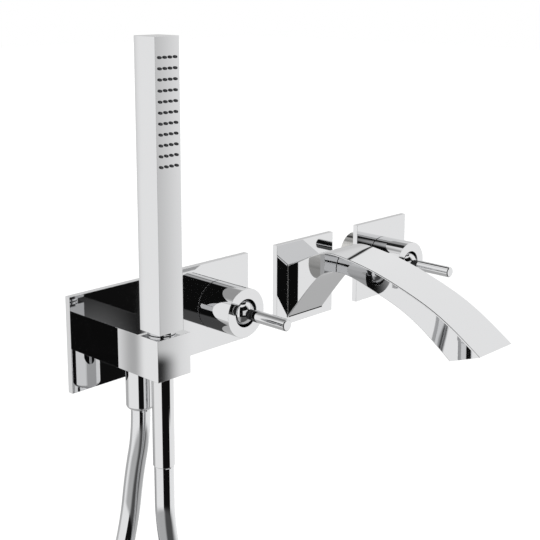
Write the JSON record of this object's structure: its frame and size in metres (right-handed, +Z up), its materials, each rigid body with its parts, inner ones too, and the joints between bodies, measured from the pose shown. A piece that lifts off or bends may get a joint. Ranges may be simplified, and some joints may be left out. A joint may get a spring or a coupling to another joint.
{
  "type": "wall mounted bath faucet",
  "caption": "Square-plated wall bath set with arched flat spout, round joystick valves, square shower arm and upright stick handset on a hose, all in polished chrome.",
  "frame": {"origin": "centre of the spout's wall plate, on the wall's surface, on the spout's inlet axis", "axes": "+Z up, +Y into the wall along the inlet axis, +X to the right seen from the room"},
  "size_m": [0.4564, 0.2364, 0.6158],
  "materials": {
    "polished_chrome": "mirror polished chrome plate on brass",
    "raw_brass": "machined brass",
    "nickel_plate": "satin nickel plate on brass",
    "stainless_steel": "turned stainless steel",
    "alumina_ceramic": "lapped white ceramic",
    "valve_plastic": "moulded grey acetal",
    "black_rubber": "matt black rubber",
    "nozzle_silicone": "soft dark grey silicone",
    "silver_hose": "smooth silver hose with a gloss sleeve"
  },
  "bodies": {
    "root": {"shower_arm_plate": "polished_chrome", "diverter_plate": "polished_chrome", "spout_plate": "polished_chrome", "mixer_plate": "polished_chrome", "plate_seals": "black_rubber", "diverter_body": "nickel_plate", "diverter_cartridge": "valve_plastic", "diverter_fixed_disc": "alumina_ceramic", "diverter_retaining_nut": "nickel_plate", "diverter_shroud": "polished_chrome", "mixer_body": "nickel_plate", "mixer_cartridge": "valve_plastic", "mixer_fixed_disc": "alumina_ceramic", "mixer_retaining_nut": "nickel_plate", "mixer_shroud": "polished_chrome", "valve_o_rings": "black_rubber", "shroud_seals": "black_rubber", "spout_shell": "polished_chrome", "spout_stream_former": "valve_plastic", "spout_nipple": "nickel_plate", "spout_grub_screw": "stainless_steel", "shower_arm": "polished_chrome", "shower_arm_nipple": "nickel_plate", "holder_liner": "valve_plastic", "hose_outlet_nipple": "raw_brass", "check_valve_body": "valve_plastic", "check_valve_spring": "stainless_steel", "hose_nut": "polished_chrome", "hose_fixed_tail": "raw_brass", "fibre_washers": "black_rubber", "hose_fixed_run": "silver_hose", "hose_handset_run": "silver_hose", "hose_coil": "silver_hose", "hose_tie": "black_rubber"},
    "hose_end": {"hose_swivel_tail": "raw_brass"},
    "handset": {"handset_body": "polished_chrome", "handset_end_cap": "polished_chrome", "nozzle_mat": "nozzle_silicone", "spray_diffuser": "valve_plastic", "handset_inlet": "raw_brass", "handset_water_tube": "valve_plastic", "handset_collar": "polished_chrome", "hose_ferrule": "polished_chrome"},
    "check_poppet": {"check_valve_poppet": "valve_plastic"},
    "diverter_rotor": {"diverter_rotor": "valve_plastic"},
    "diverter_lever": {"diverter_pivot_pin": "stainless_steel", "diverter_stem": "stainless_steel", "diverter_ball": "polished_chrome", "diverter_collar": "black_rubber", "diverter_lever": "polished_chrome"},
    "diverter_disc": {"diverter_moving_disc": "alumina_ceramic", "diverter_disc_carrier": "valve_plastic"},
    "mixer_rotor": {"mixer_rotor": "valve_plastic"},
    "mixer_lever": {"mixer_pivot_pin": "stainless_steel", "mixer_stem": "stainless_steel", "mixer_ball": "polished_chrome", "mixer_collar": "black_rubber", "mixer_lever": "polished_chrome"},
    "mixer_disc": {"mixer_moving_disc": "alumina_ceramic", "mixer_disc_carrier": "valve_plastic"}
  },
  "joints": [
    {"name": "handset_lift", "type": "slide", "parent": "root", "child": "hose_end", "axis": [0, 0, 1], "range_m": [0, 0.11]},
    {"name": "handset_turn", "type": "hinge", "parent": "hose_end", "child": "handset", "pos_m": [-0.222, -0.0645, 0.1], "axis": [0, 0, 1], "range_deg": [-90, 90]},
    {"name": "check_valve_lift", "type": "slide", "parent": "root", "child": "check_poppet", "axis": [0, 0, -1], "range_m": [0, 0.0025], "stiffness_N_per_m": 60, "springref_m": -0.001, "deforming": ["check_valve_spring"]},
    {"name": "diverter_turn", "type": "hinge", "parent": "root", "child": "diverter_rotor", "pos_m": [-0.111, -0.0335, 0], "axis": [0, -1, 0], "range_deg": [-45, 45]},
    {"name": "diverter_tilt", "type": "hinge", "parent": "diverter_rotor", "child": "diverter_lever", "pos_m": [-0.111, -0.0335, 0], "axis": [-1, 0, 0], "range_deg": [0, 18]},
    {"name": "diverter_disc_slide", "type": "slide", "parent": "diverter_rotor", "child": "diverter_disc", "axis": [0, 0, -1], "range_m": [0, 0.00665]},
    {"name": "mixer_turn", "type": "hinge", "parent": "root", "child": "mixer_rotor", "pos_m": [0.111, -0.0335, 0], "axis": [0, -1, 0], "range_deg": [-45, 45]},
    {"name": "mixer_tilt", "type": "hinge", "parent": "mixer_rotor", "child": "mixer_lever", "pos_m": [0.111, -0.0335, 0], "axis": [-1, 0, 0], "range_deg": [0, 18]},
    {"name": "mixer_disc_slide", "type": "slide", "parent": "mixer_rotor", "child": "mixer_disc", "axis": [0, 0, -1], "range_m": [0, 0.00665]}
  ],
  "couplings": [
    {"joint": "diverter_disc_slide", "follows": "diverter_tilt", "m_per_rad": 0.0211},
    {"joint": "mixer_disc_slide", "follows": "mixer_tilt", "m_per_rad": 0.0211}
  ]
}
